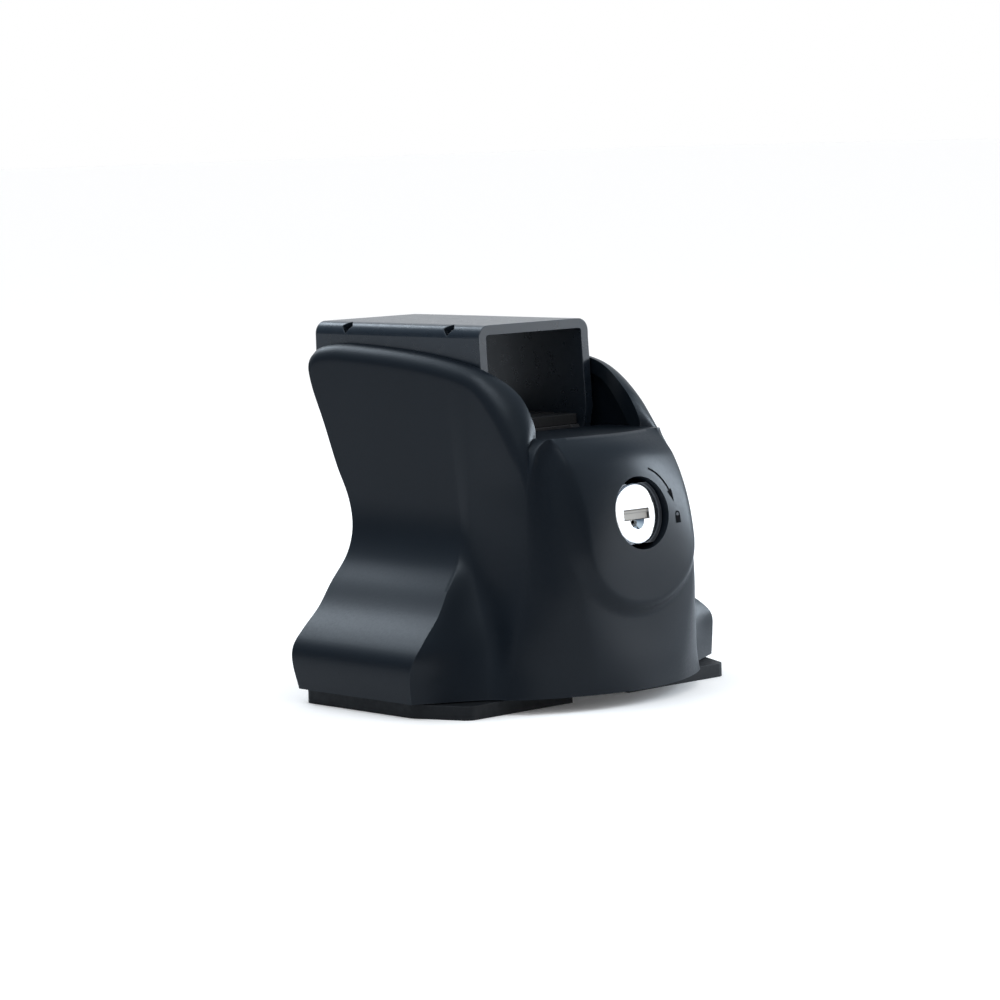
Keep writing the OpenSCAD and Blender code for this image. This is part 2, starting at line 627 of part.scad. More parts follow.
base_plate();
stay();
saddle_pad();
foot_rivets();
bolt_bridge();
bridge_rivets();
bar_bracket();
clamp_screws();
clamp_nuts();
tension_bolt();
bolt_washer();
bolt_clip();
nut_block();
cover();
lock_housing();
lock_nut();
lock_washer();
lock_rotor();
lock_cam();
cam_screw();
key_shutter();
shutter_spring();
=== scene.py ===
# Foot of a roof rack for square bars: a steel bracket and stay under a lockable moulded hood.
# Metres throughout. +X runs along the bar towards the lock, +Y across the foot, +Z up.
import math
import bpy
import bmesh
import numpy as np
from mathutils import Matrix, Vector
from mathutils.bvhtree import BVHTree


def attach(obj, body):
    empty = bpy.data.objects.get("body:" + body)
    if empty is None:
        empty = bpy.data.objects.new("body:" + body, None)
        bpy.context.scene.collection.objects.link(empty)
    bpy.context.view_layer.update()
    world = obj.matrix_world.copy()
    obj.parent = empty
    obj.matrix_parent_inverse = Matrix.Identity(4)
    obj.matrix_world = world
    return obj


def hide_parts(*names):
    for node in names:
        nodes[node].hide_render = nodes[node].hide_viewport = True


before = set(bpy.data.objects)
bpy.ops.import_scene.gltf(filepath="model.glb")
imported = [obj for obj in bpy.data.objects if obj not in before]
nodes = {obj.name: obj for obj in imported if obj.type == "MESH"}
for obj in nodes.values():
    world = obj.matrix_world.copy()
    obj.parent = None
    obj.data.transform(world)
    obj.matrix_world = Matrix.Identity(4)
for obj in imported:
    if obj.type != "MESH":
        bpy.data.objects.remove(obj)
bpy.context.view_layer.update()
MM = 0.001


# Tools for making meshes and finishes, used by every piece below.

def link(name, mesh):
    obj = bpy.data.objects.new(name, mesh)
    bpy.context.scene.collection.objects.link(obj)
    return obj


def mesh_piece(name, verts, faces, sharp=35):
    """A smooth-shaded mesh from points in millimetres."""
    mesh = bpy.data.meshes.new(name)
    mesh.from_pydata([tuple(float(c) * MM for c in v) for v in verts], [], [tuple(f) for f in faces])
    mesh.update()
    bm = bmesh.new()
    bm.from_mesh(mesh)
    bmesh.ops.recalc_face_normals(bm, faces=bm.faces)
    bm.to_mesh(mesh)
    bm.free()
    soften(mesh, sharp)
    return link(name, mesh)


def soften(mesh, sharp):
    for poly in mesh.polygons:
        poly.use_smooth = True
    mesh.set_sharp_from_angle(angle=math.radians(sharp))


def round_edges(obj, width, segments=3, angle=32):
    """Breaks the sharp edges of a carried-over node, the way a tumbled or moulded edge is."""
    weld = obj.modifiers.new("weld", "WELD")
    weld.merge_threshold = 0.004 * MM
    flats = obj.modifiers.new("flats", "DECIMATE")
    flats.decimate_type = "DISSOLVE"
    flats.angle_limit = math.radians(0.3)
    bevel = obj.modifiers.new("edge", "BEVEL")
    bevel.width = width * MM
    bevel.segments = segments
    bevel.limit_method = "ANGLE"
    bevel.angle_limit = math.radians(angle)
    bevel.harden_normals = False
    bevel.use_clamp_overlap = True
    normals = obj.modifiers.new("normals", "WEIGHTED_NORMAL")
    normals.weight = 100
    normals.keep_sharp = True
    for poly in obj.data.polygons:
        poly.use_smooth = True


def new_material(name):
    mat = bpy.data.materials.new(name)
    mat.use_nodes = True
    tree = mat.node_tree
    shader = tree.nodes["Principled BSDF"]
    return mat, tree, shader


def add(tree, kind, **values):
    """Adds a shader node. A value is for the input of that name, or else for the node's own setting."""
    node = tree.nodes.new(kind)
    for key, value in values.items():
        label = key.replace("_", " ").title()
        if label in node.inputs:
            node.inputs[label].default_value = value
        else:
            setattr(node, key, value)
    return node


def join(tree, source, out, target, into):
    tree.links.new(source.outputs[out], target.inputs[into])


def ramp(tree, stops):
    node = tree.nodes.new("ShaderNodeValToRGB")
    band = node.color_ramp
    while len(band.elements) < len(stops):
        band.elements.new(0.5)
    for element, (place, colour) in zip(band.elements, stops):
        element.position = place
        element.color = (colour, colour, colour, 1) if isinstance(colour, (int, float)) else (*colour, 1)
    return node


def surface(name, colour, rough, metallic=0.0, grain=900, grain_depth=0.02, blotch=0.08,
            wear=None, wear_share=0.0, coat=0.0, round_mm=0.0, rough_spread=0.06, specular=0.5,
            streak=None):
    """A finish: base colour with slow blotches, fine grain, uneven gloss and worn edges."""
    mat, tree, shader = new_material(name)
    place = add(tree, "ShaderNodeTexCoord")
    slow = add(tree, "ShaderNodeTexNoise", scale=55.0, detail=4.0, roughness=0.55)
    fine = add(tree, "ShaderNodeTexNoise", scale=float(grain), detail=3.0, roughness=0.6)
    join(tree, place, "Object", slow, "Vector")
    if streak:
        stretch = add(tree, "ShaderNodeMapping")
        stretch.inputs["Scale"].default_value = streak
        join(tree, place, "Object", stretch, "Vector")
        join(tree, stretch, "Vector", fine, "Vector")
    else:
        join(tree, place, "Object", fine, "Vector")
    dark = [c * (1 - blotch) for c in colour]
    light = [min(1, c * (1 + blotch)) for c in colour]
    tint = ramp(tree, [(0.3, dark), (0.7, light)])
    join(tree, slow, "Fac", tint, "Fac")
    gloss = ramp(tree, [(0.25, max(0.03, rough - rough_spread)), (0.75, min(1, rough + rough_spread))])
    join(tree, fine, "Fac", gloss, "Fac")
    join(tree, gloss, "Color", shader, "Roughness")
    shader.inputs["Metallic"].default_value = metallic
    shader.inputs["Specular IOR Level"].default_value = specular
    if coat:
        shader.inputs["Coat Weight"].default_value = coat
        shader.inputs["Coat Roughness"].default_value = 0.12
    if wear:
        face = add(tree, "ShaderNodeNewGeometry")
        bent = add(tree, "ShaderNodeBevel", samples=6)
        bent.inputs["Radius"].default_value = 0.5 * MM
        flat = add(tree, "ShaderNodeVectorMath", operation="DOT_PRODUCT")
        join(tree, bent, "Normal", flat, 0)
        join(tree, face, "Normal", flat, 1)
        breakup = add(tree, "ShaderNodeTexNoise", scale=420.0, detail=5.0, roughness=0.7)
        join(tree, place, "Object", breakup, "Vector")
        edge = add(tree, "ShaderNodeMath", operation="SUBTRACT")
        edge.inputs[0].default_value = 1.0
        join(tree, flat, "Value", edge, 1)
        total = add(tree, "ShaderNodeMath", operation="MULTIPLY")
        join(tree, edge, "Value", total, 0)
        join(tree, breakup, "Fac", total, 1)
        mask = ramp(tree, [(0.02, 0.0), (0.07, wear_share)])
        join(tree, total, "Value", mask, "Fac")
        mixed = add(tree, "ShaderNodeMix", data_type="RGBA")
        mixed.inputs["B"].default_value = (*wear, 1)
        tree.links.new(mask.outputs["Color"], mixed.inputs["Factor"])
        tree.links.new(tint.outputs["Color"], mixed.inputs[6])
        mixed.inputs[7].default_value = (*wear, 1)
        tree.links.new(mixed.outputs[2], shader.inputs["Base Color"])
    else:
        join(tree, tint, "Color", shader, "Base Color")
    bump = add(tree, "ShaderNodeBump", strength=0.5, distance=grain_depth * MM)
    join(tree, fine, "Fac", bump, "Height")
    if round_mm:
        corner = add(tree, "ShaderNodeBevel", samples=4)
        corner.inputs["Radius"].default_value = round_mm * MM
        join(tree, corner, "Normal", bump, "Normal")
    join(tree, bump, "Normal", shader, "Normal")
    return mat


def dress(name, mat):
    """Gives a carried-over node its finish."""
    obj = nodes[name]
    obj.data.materials.clear()
    obj.data.materials.append(mat)
    return obj


def lathe(profile, turns=96):
    """Points and faces of a turned piece about local X. profile is [(x, r)] from end to end."""
    verts, faces = [], []
    n = len(profile)
    for i in range(turns):
        a = 2 * math.pi * i / turns
        verts += [(x, r * math.cos(a), r * math.sin(a)) for x, r in profile]
    for i in range(turns):
        b, c = i * n, ((i + 1) % turns) * n
        faces += [(b + k, b + k + 1, c + k + 1, c + k) for k in range(n - 1)]
    return verts, faces


def along(a, b, t):
    return a + (b - a) * t


# The hood: one injection-moulded shell of satin slate resin with a fine spark-eroded grain.
# Two fins stand either side of the bar, two toes flare down to the base, and a raised shield
# between them carries the lock. It slides on from outboard and the lock's cam holds it.
FIN, TOE, NOSE = 23.0, 48.4, 46.5
RIM_Z, NOSE_TOP, FIN_TOP = 3.5, 61.0, 80.9
WALL, RIM_R, RIM_SWELL, RIM_FLAT = 2.8, 4.0, 2.2, 0.5
SHELF_X, SHELF_T, SHELF_Y = 15.5, 2.4, 16.6

toe_side = [(RIM_Z, TOE - 0.4), (10, TOE), (13.6, TOE - 1), (17, TOE - 4.6), (21.5, TOE - 10.8),
            (26.5, FIN + 9.6), (32, FIN + 4.2), (38, FIN + 1.3), (46, FIN + 0.2), (FIN_TOP, FIN - 0.8)]
inboard_x = [(RIM_Z, -19.8), (10, -21.5), (17, -22.5), (25, -25), (38, -27), (45.5, -29.5),
             (52.4, -33.5), (62.9, -38.4), (71, -42.4), (77, -44), (FIN_TOP, -44)]
toe_end_x = [(RIM_Z, 19.4), (9, 19.5), (15, 20), (21, 17.4), (29, 14), (38, 11), (FIN_TOP, 4)]
ridge_x = [(RIM_Z, 27.6), (10, 25.7), (17, 23.2), (27, 18.8), (34, 15.8), (41, 14), (FIN_TOP, 12)]
ridge_y = [(RIM_Z, FIN + 10.6), (10, FIN + 8.6), (17, FIN + 6.4), (27, FIN + 3.4), (34, FIN + 1.9),
           (41, FIN + 0.9), (52, FIN + 0.2), (FIN_TOP, FIN - 0.8)]
crease_x = [(RIM_Z, 34), (10, 33.4), (25, 32.8), (41, 32.8), (52, 32.2), (NOSE_TOP, 31.4),
            (FIN_TOP, 30.6)]
crease_y = [(RIM_Z, FIN + 6), (10, FIN + 5.2), (17, FIN + 4.4), (25, FIN + 3), (34, FIN + 1.8),
            (44, FIN + 0.9), (52, FIN + 0.2), (FIN_TOP, FIN - 0.8)]
sweep_x = [(RIM_Z, 39.2), (14, 39.8), (25, 39.6), (33, 38.4), (41, 37), (52, 34.8),
           (NOSE_TOP, 32.6), (FIN_TOP, 32)]
sweep_y = [(RIM_Z, 21.5), (25, 22), (41, 21.2), (52, 19.6), (NOSE_TOP, 17.6), (FIN_TOP, 17.6)]
dome_x = [(RIM_Z, NOSE - 3.2), (12, NOSE - 2.6), (25, NOSE - 2.8), (33, NOSE - 3.1),
          (41, NOSE - 4.1), (48, NOSE - 5.9), (55, NOSE - 9), (58, NOSE - 11.4),
          (NOSE_TOP, NOSE - 14.6)]
dome_y = [(RIM_Z, 12), (17, 14.8), (25, 16.8), (33, 17.4), (48, 17), (NOSE_TOP, 15.8)]
nose_x = [(RIM_Z, NOSE - 1.4), (10, NOSE - 1.5), (17, NOSE - 1.9), (24, NOSE - 2),
          (34, NOSE - 2.1), (43.6, NOSE - 2.7), (48, NOSE - 3.5), (52, NOSE - 4.6),
          (56, NOSE - 6.6), (58.8, NOSE - 9.2), (NOSE_TOP, NOSE - 12.5)]
fin_edge = [(-44, FIN_TOP - 4.6), (-41, FIN_TOP - 1.2), (-36, FIN_TOP - 0.1), (-30, FIN_TOP),
            (-12, FIN_TOP - 1), (2, FIN_TOP - 2.5), (12, FIN_TOP - 4.5), (19, FIN_TOP - 7.4),
            (24.5, FIN_TOP - 11.4), (28.4, FIN_TOP - 16), (31.4, NOSE_TOP)]
SPANS = np.cumsum([0, 9, 5, 6, 4, 4, 5])
LAST = float(SPANS[-1])
FIN_END = SPANS[3]      # the station where a fin ends and the shelf begins
EDGE_READ_Z = 70.0      # height at which the fins' top edge is read
SPREAD = 2.6            # stations over which the inward direction is evened out
FADE_OUT = 4.0          # stations over which the rounded top edge fades into the shelf


def guide(curve, z):
    """A guide curve read at heights z, smooth from point to point."""
    g = np.array(curve, float)
    z = np.asarray(z, float)
    i = np.clip(np.searchsorted(g[:, 0], z, side="right") - 1, 0, len(g) - 2)
    b, c = g[i], g[i + 1]
    a, d = g[np.maximum(i - 1, 0)], g[np.minimum(i + 2, len(g) - 1)]
    h = c[..., 0] - b[..., 0]
    t = np.clip((z - b[..., 0]) / h, 0, 1)
    straight = (c[..., 1] - b[..., 1]) / h
    mb = np.where(i == 0, straight, (c[..., 1] - a[..., 1]) / (c[..., 0] - a[..., 0]))
    mc = np.where(i >= len(g) - 2, straight, (d[..., 1] - b[..., 1]) / (d[..., 0] - b[..., 0]))
    return (b[..., 1] * (1 + 2 * t) * (1 - t) ** 2 + mb * h * t * (1 - t) ** 2
            + c[..., 1] * t * t * (3 - 2 * t) + mc * h * t * t * (t - 1))


SHIELD_LIFT, SHIELD_W, SHIELD_Z, SHIELD_H, SHIELD_STEP = 2.0, 19.3, 37.0, 16.2, 4.0


def ease(t):
    t = np.clip(t, 0, 1)
    return t * t * (3 - 2 * t)


def shield(y, z):
    """1 on the raised shield round the lock and 0 outside it, with a soft step between."""
    deep = np.maximum(SHIELD_Z - z, 0) * SHIELD_W / SHIELD_H
    return ease((SHIELD_W + 0.8 - np.hypot(y, deep)) / SHIELD_STEP)


def outline(s, z):
    """The half outline at stations s and heights z, as points (x, y)."""
    s, z = np.broadcast_arrays(np.asarray(s, float), np.asarray(z, float))
    low = np.minimum(z, NOSE_TOP)
    k = np.stack([
        np.stack([guide(inboard_x, z), guide(toe_side, z)], -1),
        np.stack([guide(toe_end_x, z), guide(toe_side, z)], -1),
        np.stack([guide(ridge_x, z), guide(ridge_y, z)], -1),
        np.stack([guide(crease_x, z), guide(crease_y, z)], -1),
        np.stack([guide(sweep_x, low), guide(sweep_y, low)], -1),
        np.stack([guide(dome_x, low), guide(dome_y, low)], -1),
        np.stack([guide(nose_x, low), 0 * low], -1)], 0)
    i = np.clip(np.searchsorted(SPANS, s, side="right") - 1, 0, 5)
    pick = lambda n: np.take_along_axis(k, np.clip(n, 0, 6)[None, ..., None], 0)[0]
    b, c, a, d = pick(i), pick(i + 1), pick(i - 1), pick(i + 2)
    t = ((s - SPANS[i]) / (SPANS[i + 1] - SPANS[i]))[..., None]
    i = i[..., None]
    d = np.where(i == 5, b * np.array([1, -1]), d)
    reach = np.linalg.norm(c - b, axis=-1, keepdims=True)
    length = lambda v: np.maximum(np.linalg.norm(v, axis=-1, keepdims=True), 1e-9)
    short = lambda v: v * np.minimum(1, reach / length(v))
    mb = np.where(i == 0, c - b, np.where(i == 1, (c - b) * 0.8, short((c - a) / 2)))
    mc = np.where(i == 0, c - b, np.where(i == 5, (c - b) * np.array([0, 1.2]), short((d - b) / 2)))
    p = (b * (1 + 2 * t) * (1 - t) ** 2 + mb * t * (1 - t) ** 2
         + c * t * t * (3 - 2 * t) + mc * t * t * (t - 1))
    return p + np.stack([SHIELD_LIFT * shield(p[..., 1], z), 0 * z], -1)


def inward(s, z):
    """The level direction into the wall."""
    step = outline(np.minimum(s + SPREAD, LAST), z) - outline(np.maximum(s - SPREAD, 0), z)
    turned = np.stack([step[..., 1], -step[..., 0]], -1)
    turned /= np.linalg.norm(turned, axis=-1, keepdims=True)
    return np.where((s >= LAST)[..., None], np.array([-1.0, 0.0]), turned)


def edge_z(s):
    """Height of the hood's top edge."""
    return np.where(s >= FIN_END, NOSE_TOP, guide(fin_edge, outline(s, EDGE_READ_Z)[..., 0]))


def edge_level(s):
    """How level the top edge runs: 1 where it is flat, less where it slopes down."""
    near = np.minimum(s, FIN_END)
    a, b = np.minimum(near + 0.5, FIN_END), np.maximum(near - 0.5, 0)
    run = outline(a, EDGE_READ_Z)[..., 0] - outline(b, EDGE_READ_Z)[..., 0]
    rise = edge_z(a) - edge_z(b)
    level = np.maximum(np.abs(run) / np.hypot(run, rise), 0.45)
    return level + (1 - level) * (1 - rim_share(s))


def rim_share(s):
    """1 along a fin's rounded edge, falling to 0 at the shelf."""
    return 1 - ease((s - FIN_END) / FADE_OUT)


def edge_radius(s):
    """Radius of a fin's top edge: it swells towards the fin's front."""
    return RIM_R + RIM_SWELL * ease((outline(s, EDGE_READ_Z)[..., 0] - 13) / 12)


def shell(rows, phis, per_station):
    """Outer and inner grids of one half of the hood: level rows, then rows round the top edge."""
    s = np.linspace(0, LAST, int(LAST * per_station) + 1)[:, None]
    share = rim_share(s)
    radius = edge_radius(s) * share
    slope = edge_level(s)
    start = edge_z(s) - radius / slope
    climb = np.linspace(0, 1, rows + 1)[None, :]
    phi = np.radians(np.linspace(0, 90, phis + 1)[1:])[None, :]
    z = np.concatenate([RIM_Z + (start - RIM_Z) * climb, start + radius / slope * np.sin(phi)], 1)
    turn = np.concatenate([0 * climb, phi], 1)
    s = s + 0 * z
    point, into = outline(s, z), inward(s, z)
    shift = ((1 - share) * (1 - np.cos(turn)))[..., None]

    def shelved(p):
        """Drawn over to the shelf's back edge, as far as the row has turned over."""
        back = np.stack([0 * z + SHELF_X, np.minimum(p[..., 1], SHELF_Y)], -1)
        return p + (back - p) * shift

    outer = shelved(point + into * (radius * (1 - np.cos(turn)))[..., None])
    deep = np.where(turn > 0, np.maximum(WALL, radius + RIM_FLAT), WALL + 0 * turn)
    inner = shelved(point + into * deep[..., None])
    drop = (1 - share) * SHELF_T * (z - RIM_Z) / (NOSE_TOP - RIM_Z)
    return np.dstack([outer, z]), np.dstack([inner, z - drop])


def hood_mesh(rows=88, phis=12, per_station=4):
    """Both halves, outer and inner skins, closed along their four borders."""
    outer, inner = shell(rows, phis, per_station)
    verts, grids = [], []
    for side in (outer, inner):
        whole = np.concatenate([side[:-1] * np.array([1, -1, 1]), side[::-1]], 0)
        grids.append(np.arange(whole.shape[0] * whole.shape[1]).reshape(whole.shape[:2]) + len(verts))
        verts += [tuple(v) for v in whole.reshape(-1, 3)]
    faces = []
    for grid in grids:
        faces += [tuple(f) for f in np.stack(
            [grid[:-1, :-1], grid[1:, :-1], grid[1:, 1:], grid[:-1, 1:]], -1).reshape(-1, 4)]
    a, b = grids
    borders = ((a[:, 0], b[:, 0]), (a[:, -1], b[:, -1]), (a[0, :], b[0, :]), (a[-1, :], b[-1, :]))
    for one, two in borders:
        faces += [(one[i], one[i + 1], two[i + 1], two[i]) for i in range(len(one) - 1)]
    return verts, faces


LOCK_Z, LOCK_TILT = 43.6, math.radians(8)
LOCK_X = float(guide(nose_x, LOCK_Z)) + SHIELD_LIFT
LOCK_HOLE_R, BOSS_R, BOSS_END = 8.25, 10.55, -12.0
on_lock = Matrix.Translation((LOCK_X * MM, 0, LOCK_Z * MM)) @ Matrix.Rotation(-LOCK_TILT, 4, "Y")


def cut(obj, cutter, kind):
    """Joins or cuts one mesh with another at once, and drops the second."""
    change = obj.modifiers.new("cut", "BOOLEAN")
    change.operation = kind
    change.solver = "EXACT"
    change.object = cutter
    bpy.context.view_layer.update()
    done = bpy.data.meshes.new_from_object(obj.evaluated_get(bpy.context.evaluated_depsgraph_get()))
    obj.modifiers.clear()
    obj.data = done
    bpy.data.objects.remove(cutter)


def turned(name, profile, turns=96):
    """A closed turned solid on the lock's axis."""
    verts, faces = lathe(profile, turns)
    n = len(profile)
    faces.append(tuple(range(0, n * turns, n)))
    faces.append(tuple(range(n - 1, n * turns, n)))
    obj = mesh_piece(name, verts, faces)
    obj.data.transform(on_lock)
    return obj


hood = mesh_piece("hood_shell", *hood_mesh())
cut(hood, turned("boss", [(BOSS_END, BOSS_R), (-2.6, BOSS_R)]), "UNION")
cut(hood, turned("lock_bore", [
    (BOSS_END - 1, LOCK_HOLE_R), (-1.0, LOCK_HOLE_R), (-0.4, LOCK_HOLE_R + 0.05),
    (0.2, LOCK_HOLE_R + 0.3), (6, LOCK_HOLE_R + 6.1)]), "DIFFERENCE")
soften(hood.data, 38)
hood.data.materials.append(surface(
    "hood_resin", (0.0030, 0.0055, 0.0092), 0.38, grain=1500, grain_depth=0.012, blotch=0.06,
    wear=(0.018, 0.026, 0.034), wear_share=0.4, rough_spread=0.05, specular=0.30))
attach(hood, "hood")
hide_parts("cover")


# Turning marks beside the lock: an arc with an arrowhead, and a small closed padlock below it.
# They are printed on the resin in matt black ink, and stand 0.06 mm off it.
MARK_LIFT = 0.06
skin = BVHTree.FromPolygons([v.co.copy() for v in hood.data.vertices],
                            [tuple(p.vertices) for p in hood.data.polygons])


def on_skin(y, z):
    """The point of the hood's face at (y, z) in the lock's own frame, in millimetres."""
    start = on_lock @ Vector((0.02, y * MM, z * MM))
    hit = skin.ray_cast(start, (on_lock.to_3x3() @ Vector((-1, 0, 0))))
    return (hit[0] + hit[1] * MARK_LIFT * MM) / MM


def stroke(path, width):
    """A flat line on the hood's face through (y, z) points; width is one value or one per point."""
    path = np.array(path, float)
    widths = np.broadcast_to(np.asarray(width, float), len(path))
    run = np.gradient(path, axis=0)
    run /= np.linalg.norm(run, axis=1, keepdims=True)
    side = np.stack([-run[:, 1], run[:, 0]], 1) * widths[:, None] / 2
    verts = []
    for a, b in zip(path - side, path + side):
        verts += [on_skin(*a), on_skin(*b)]
    faces = [(2 * i, 2 * i + 1, 2 * i + 3, 2 * i + 2) for i in range(len(path) - 1)]
    return verts, faces


def arc_path(r, a0, a1, n=24, y0=0.0, z0=0.0):
    a = np.radians(np.linspace(a0, a1, n))
    return np.stack([y0 + r * np.cos(a), z0 + r * np.sin(a)], 1)


ink = surface("mark_ink", (0.0015, 0.0015, 0.002), 0.85, grain=2000, grain_depth=0.004, blotch=0.2,
              specular=0.08)
strokes = [
    stroke(arc_path(10.7, 66, 24, 30), 0.45),
    stroke(arc_path(10.7, 24, 9, 12), np.linspace(1.7, 0.05, 12)),
    stroke([(11.3, -1.6), (11.3, -2.2), (11.3, -2.8), (11.3, -3.3)], 1.7),
    stroke(arc_path(0.62, 180, 0, 14, 11.3, -1.3), 0.28),
    stroke([(10.68, -1.6), (10.68, -1.3)], 0.28),
    stroke([(11.92, -1.6), (11.92, -1.3)], 0.28)]
marks, mark_faces = [], []
for points, quads in strokes:
    mark_faces += [tuple(len(marks) + i for i in q) for q in quads]
    marks += points
lock_marks = mesh_piece("lock_marks", marks, mark_faces)
lock_marks.data.materials.append(ink)
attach(lock_marks, "hood")


# The lock plug: one turned zinc casting, chromed bright. Its face has a broken outer edge and a
# key slot with a cone notch below; the tail carries the cam on two flats.
FACE_X = -2.3
HEAD_R, HEAD_T, PLUG_R, TAIL_R = 7.0, 3.0, 5.5, 3.5
PLUG_END, CAM_X = -20.1, -29.5
SLOT_W, SLOT_H, SLOT_Z, SLOT_DEEP = 8.0, 2.4, -0.2, 9.0
PIN_X, PIN_Z = FACE_X - 0.8, SLOT_Z + SLOT_H / 2 - 0.55


def block(name, x0, x1, y0, y1, z0, z1):
    """A closed box in the lock's own frame."""
    verts = [(x, y, z) for x in (x0, x1) for y in (y0, y1) for z in (z0, z1)]
    faces = [(0, 1, 3, 2), (4, 6, 7, 5), (0, 4, 5, 1), (2, 3, 7, 6), (0, 2, 6, 4), (1, 5, 7, 3)]
    obj = mesh_piece(name, verts, faces)
    obj.data.transform(on_lock)
    return obj


plug = turned("lock_plug", [
    (CAM_X, TAIL_R - 0.3), (CAM_X + 0.3, TAIL_R), (PLUG_END + 0.6, TAIL_R),
    (PLUG_END + 0.6, PLUG_R - 0.3), (PLUG_END + 0.9, PLUG_R), (FACE_X - HEAD_T, PLUG_R),
    (FACE_X - HEAD_T, HEAD_R - 0.2), (FACE_X - HEAD_T + 0.2, HEAD_R), (FACE_X - 0.45, HEAD_R),
    (FACE_X - 0.2, HEAD_R - 0.07),
    (FACE_X - 0.06, HEAD_R - 0.22), (FACE_X, HEAD_R - 0.5)], 128)
cut(plug, block("slot", FACE_X - SLOT_DEEP, FACE_X + 1, -SLOT_W / 2, SLOT_W / 2,
                SLOT_Z - SLOT_H / 2, SLOT_Z + SLOT_H / 2), "DIFFERENCE")
notch = turned("notch", [(-1.9, 0.2), (0, 2.2), (0.6, 2.9)], 64)
notch.data.transform(on_lock @ Matrix.Translation((FACE_X * MM, 0, (SLOT_Z - SLOT_H / 2) * MM))
                     @ on_lock.inverted())
cut(plug, notch, "DIFFERENCE")
pin_room = mesh_piece("pin_room", *lathe([(-4.8, 0.001), (-4.8, 0.56), (4.8, 0.56), (4.8, 0.001)], 32))
pin_room.data.transform(on_lock @ Matrix.Translation((PIN_X * MM, 0, PIN_Z * MM))
                        @ Matrix.Rotation(math.radians(90), 4, "Z"))
cut(plug, pin_room, "DIFFERENCE")
cut(plug, block("flat_a", CAM_X - 1, CAM_X + 2, -8, 8, 2.4, 8), "DIFFERENCE")
cut(plug, block("flat_b", CAM_X - 1, CAM_X + 2, -8, 8, -8, -2.4), "DIFFERENCE")
cut(plug, turned("tapping", [(CAM_X - 1, 1.25), (CAM_X + 6, 1.25)], 32), "DIFFERENCE")
soften(plug.data, 30)
plug.data.materials.append(surface(
    "bright_chrome", (0.86, 0.87, 0.88), 0.09, metallic=1.0, grain=260, grain_depth=0.003, blotch=0.02,
    rough_spread=0.03, round_mm=0.12))
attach(plug, "plug")
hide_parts("lock_rotor")


# The rest of the lock. Housing: die-cast zinc, left grey, flats top and bottom. Nut, washer and
# cam: pressed or cold-formed steel, zinc plated. Screw: zinc plated. Shutter: beige moulded resin
# on a pin, closed by a leaf spring.
cast_zinc = surface("cast_zinc", (0.10, 0.105, 0.115), 0.48, metallic=0.7, grain=1300, grain_depth=0.02,
                    blotch=0.12, wear=(0.42, 0.43, 0.45), wear_share=0.5)
zinc_plate = surface("zinc_plate", (0.52, 0.53, 0.55), 0.30, metallic=1.0, grain=700, grain_depth=0.006,
                     blotch=0.10, wear=(0.32, 0.31, 0.29), wear_share=0.4, rough_spread=0.09)
rolled_zinc = surface("rolled_zinc", (0.47, 0.48, 0.50), 0.36, metallic=1.0, grain=500,
                      grain_depth=0.008, blotch=0.14, wear=(0.28, 0.27, 0.25), wear_share=0.4,
                      rough_spread=0.10,
                      streak=(0.12, 1.0, 1.0))
spring_steel = surface("spring_steel", (0.22, 0.22, 0.235), 0.34, metallic=1.0, grain=900,
                       grain_depth=0.004, blotch=0.15, wear=(0.5, 0.5, 0.5), wear_share=0.3)
shutter_resin = surface("shutter_resin", (0.36, 0.33, 0.29), 0.50, grain=1800, grain_depth=0.006,
                        blotch=0.08, wear=(0.20, 0.18, 0.16), wear_share=0.3)
for name, finish, width in (("lock_housing", cast_zinc, 0.25), ("lock_nut", zinc_plate, 0.35),
                            ("lock_washer", zinc_plate, 0.12), ("lock_cam", rolled_zinc, 0.2),
                            ("cam_screw", zinc_plate, 0.15), ("key_shutter", shutter_resin, 0.12),
                            ("shutter_spring", spring_steel, 0.05)):
    round_edges(dress(name, finish), width)


# Clamping bracket: 2.3 mm pressed steel, an inverted channel over the bar with a dart stamped
# across each bend near both ends. Painted blue-black, semi-gloss, bare where its edges rub.
bracket_paint = surface("bracket_paint", (0.009, 0.014, 0.021), 0.30, grain=420, grain_depth=0.005,
                        blotch=0.07, coat=0.12, wear=(0.07, 0.08, 0.09), wear_share=0.5,
                        rough_spread=0.05)
round_edges(dress("bar_bracket", bracket_paint), 0.45, segments=4)
screw_black = surface("screw_black", (0.022, 0.022, 0.024), 0.40, metallic=0.6, grain=900,
                      grain_depth=0.006, blotch=0.15, wear=(0.22, 0.22, 0.22), wear_share=0.5)
round_edges(dress("clamp_screws", screw_black), 0.25)
round_edges(dress("clamp_nuts", zinc_plate), 0.3)

# Stay: two cheeks, foot flanges and saddle of pressed steel, welded and dipped black. Base plate:
# flat steel, black powder coat. Rivets: zinc plated, peened over. Pad: ribbed black rubber.
dip_black = surface("dip_black", (0.028, 0.029, 0.032), 0.45, grain=600, grain_depth=0.02, blotch=0.12,
                    wear=(0.15, 0.15, 0.16), wear_share=0.4)
powder_black = surface("powder_black", (0.0045, 0.005, 0.0062), 0.55, grain=700, grain_depth=0.03,
                       blotch=0.12, specular=0.35, wear=(0.05, 0.052, 0.056), wear_share=0.4,
                       rough_spread=0.1)
pad_rubber = surface("pad_rubber", (0.016, 0.016, 0.017), 0.78, grain=1400, grain_depth=0.03,
                     blotch=0.18, wear=(0.06, 0.06, 0.06), wear_share=0.5, rough_spread=0.1)
for name, finish, width in (("stay", dip_black, 0.3), ("base_plate", powder_black, 0.4),
                            ("saddle_pad", pad_rubber, 0.25), ("foot_rivets", zinc_plate, 0.1),
                            ("bridge_rivets", zinc_plate, 0.2), ("bolt_bridge", rolled_zinc, 0.25)):
    round_edges(dress(name, finish), width)


